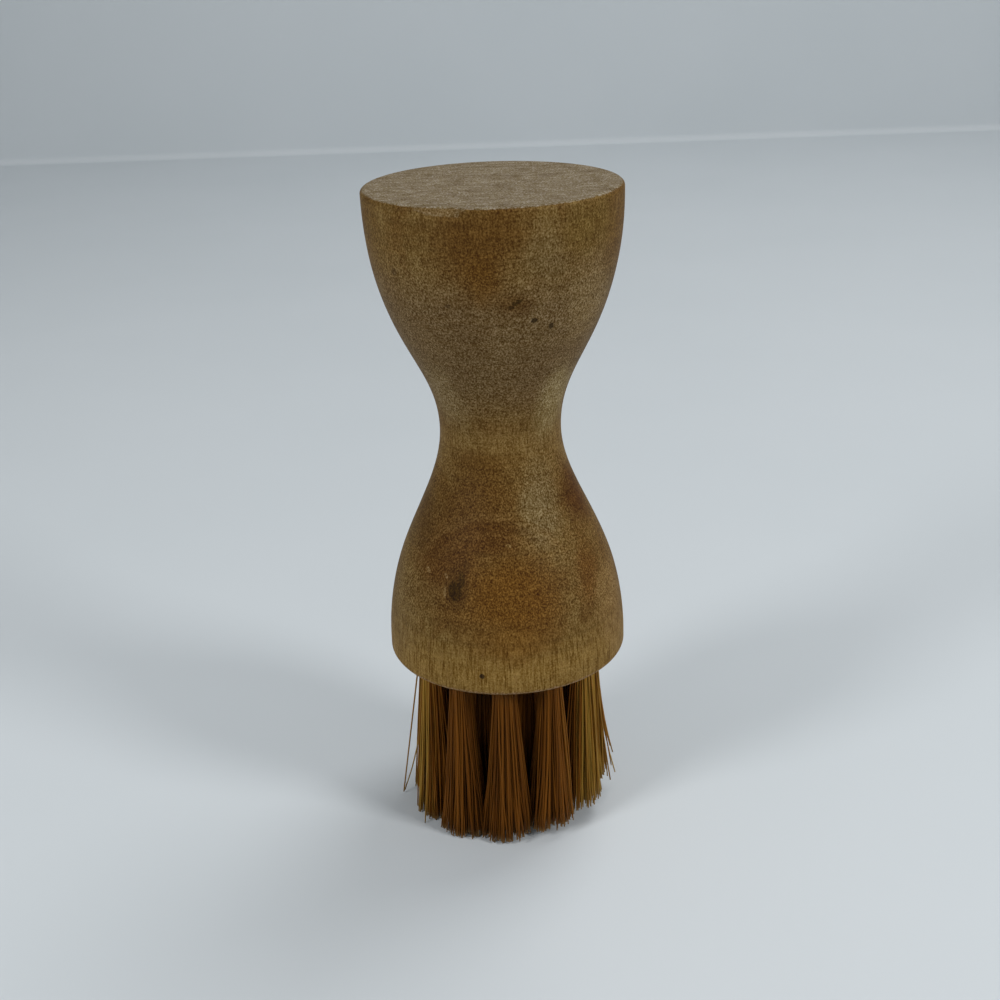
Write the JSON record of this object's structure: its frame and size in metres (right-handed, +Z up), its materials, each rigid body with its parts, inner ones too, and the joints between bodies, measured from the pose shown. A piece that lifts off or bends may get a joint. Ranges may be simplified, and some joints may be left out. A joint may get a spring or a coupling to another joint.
{
  "type": "dauber brush",
  "caption": "Round shoe polish dauber: a turned hourglass handle of wood with a flat top face, and stapled tufts of stiff bristle standing in drilled holes of its lower end.",
  "frame": {"origin": "on the surface that the bristle tips stand on, below the handle's axis", "axes": "+Z up along the handle's axis, -Y towards the viewer, +X to the right"},
  "size_m": [0.038, 0.038, 0.102],
  "materials": {
    "wood": "stained and thinly lacquered, satin, worn at the top rim",
    "bristle": "stiff amber-brown animal bristle, slightly glossy, tips uneven",
    "staple_wire": "drawn flat wire, bare"
  },
  "bodies": {
    "root": {"handle": "wood", "centre_tuft": "bristle", "inner_tufts": "bristle", "outer_tufts": "bristle", "centre_staple": "staple_wire", "inner_staple_1": "staple_wire", "inner_staple_2": "staple_wire", "inner_staple_3": "staple_wire", "inner_staple_4": "staple_wire", "inner_staple_5": "staple_wire", "inner_staple_6": "staple_wire", "outer_staple_1": "staple_wire", "outer_staple_2": "staple_wire", "outer_staple_3": "staple_wire", "outer_staple_4": "staple_wire", "outer_staple_5": "staple_wire", "outer_staple_6": "staple_wire", "outer_staple_7": "staple_wire", "outer_staple_8": "staple_wire", "outer_staple_9": "staple_wire", "outer_staple_10": "staple_wire", "outer_staple_11": "staple_wire"}
  },
  "joints": []
}
